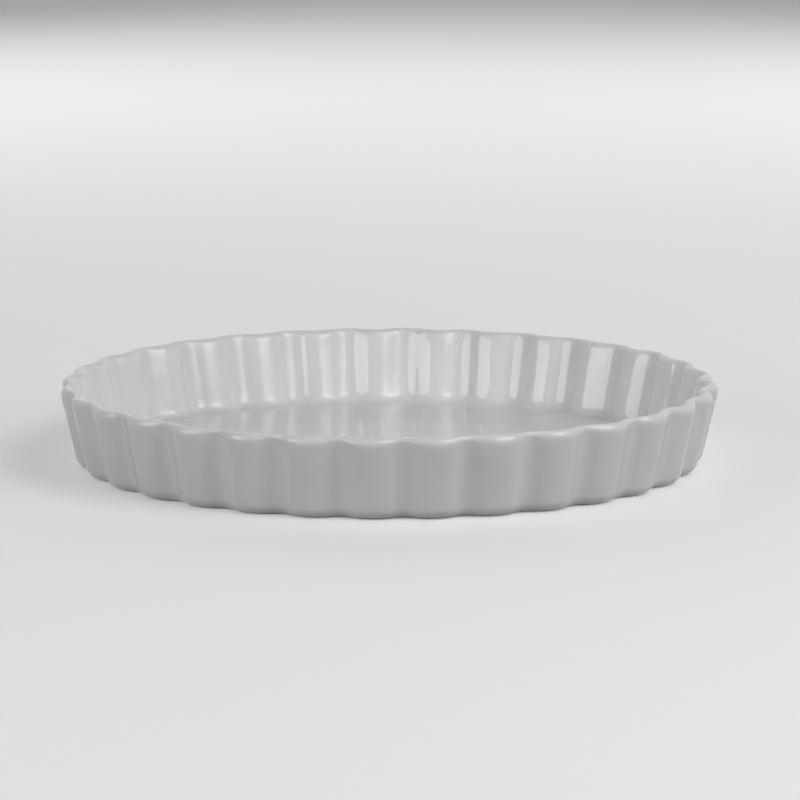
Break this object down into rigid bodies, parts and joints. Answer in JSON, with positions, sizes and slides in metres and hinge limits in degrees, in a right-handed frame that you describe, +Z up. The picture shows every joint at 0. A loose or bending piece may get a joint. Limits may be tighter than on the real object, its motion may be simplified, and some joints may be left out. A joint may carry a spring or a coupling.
{
  "type": "fluted quiche dish",
  "caption": "Round, shallow white porcelain oven dish with a fluted leaning wall, rounded rim and flat floor, for baking and serving a quiche or flan.",
  "frame": {"origin": "centre of the foot ring, on the surface that the dish stands on", "axes": "+Z up along the dish's axis, out of its open mouth; +X and +Y each run through the crest of a lobe"},
  "size_m": [0.2964, 0.2964, 0.0372],
  "materials": {
    "porcelain": "bare fired porcelain, fine matt",
    "glaze": "glossy clear white glaze",
    "underside_glaze": "glossy white glaze, a little thinner"
  },
  "bodies": {
    "root": {"porcelain_body": "porcelain", "glaze_coat": "glaze", "underside_glaze": "underside_glaze"}
  },
  "joints": []
}
